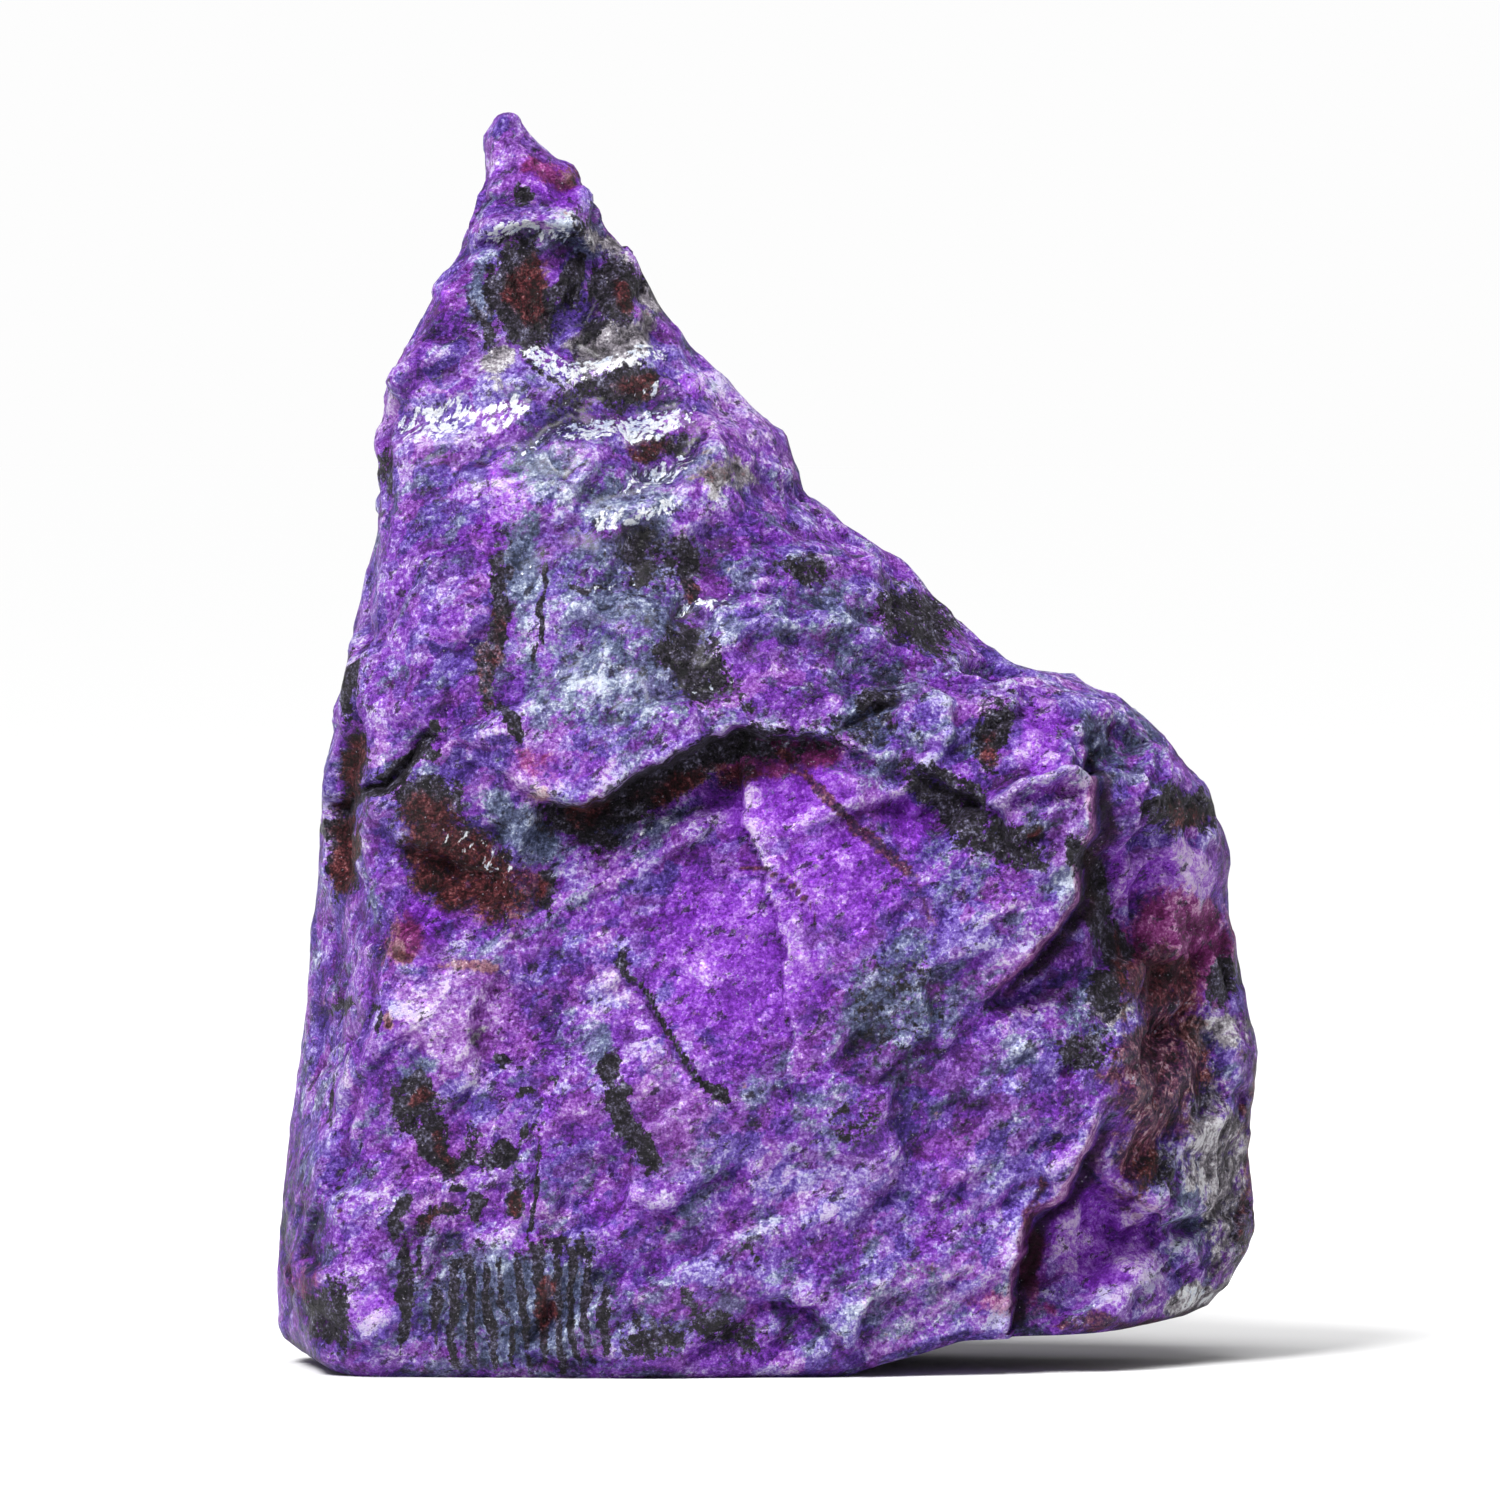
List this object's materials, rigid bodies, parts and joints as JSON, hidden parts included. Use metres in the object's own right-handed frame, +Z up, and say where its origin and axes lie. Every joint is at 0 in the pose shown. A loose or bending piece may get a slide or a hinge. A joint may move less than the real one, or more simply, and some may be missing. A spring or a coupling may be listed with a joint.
{
  "type": "rough sugilite",
  "caption": "Palm-sized lump of rough purple sugilite with black manganese patches, a stepped broken face, a pointed top and a flat spot to stand on",
  "frame": {"origin": "middle of the lump's plan, at the height of the flat spot it stands on", "axes": "+Z up to the tip, +X to the right along the broad face, -Y towards the viewer of the broad face"},
  "size_m": [0.0786, 0.04, 0.1002],
  "materials": {
    "sugilite": "rough broken sugilite, violet with black and red-brown patches, satin with small glints"
  },
  "bodies": {
    "root": {"rough_sugilite": "sugilite"}
  },
  "joints": []
}
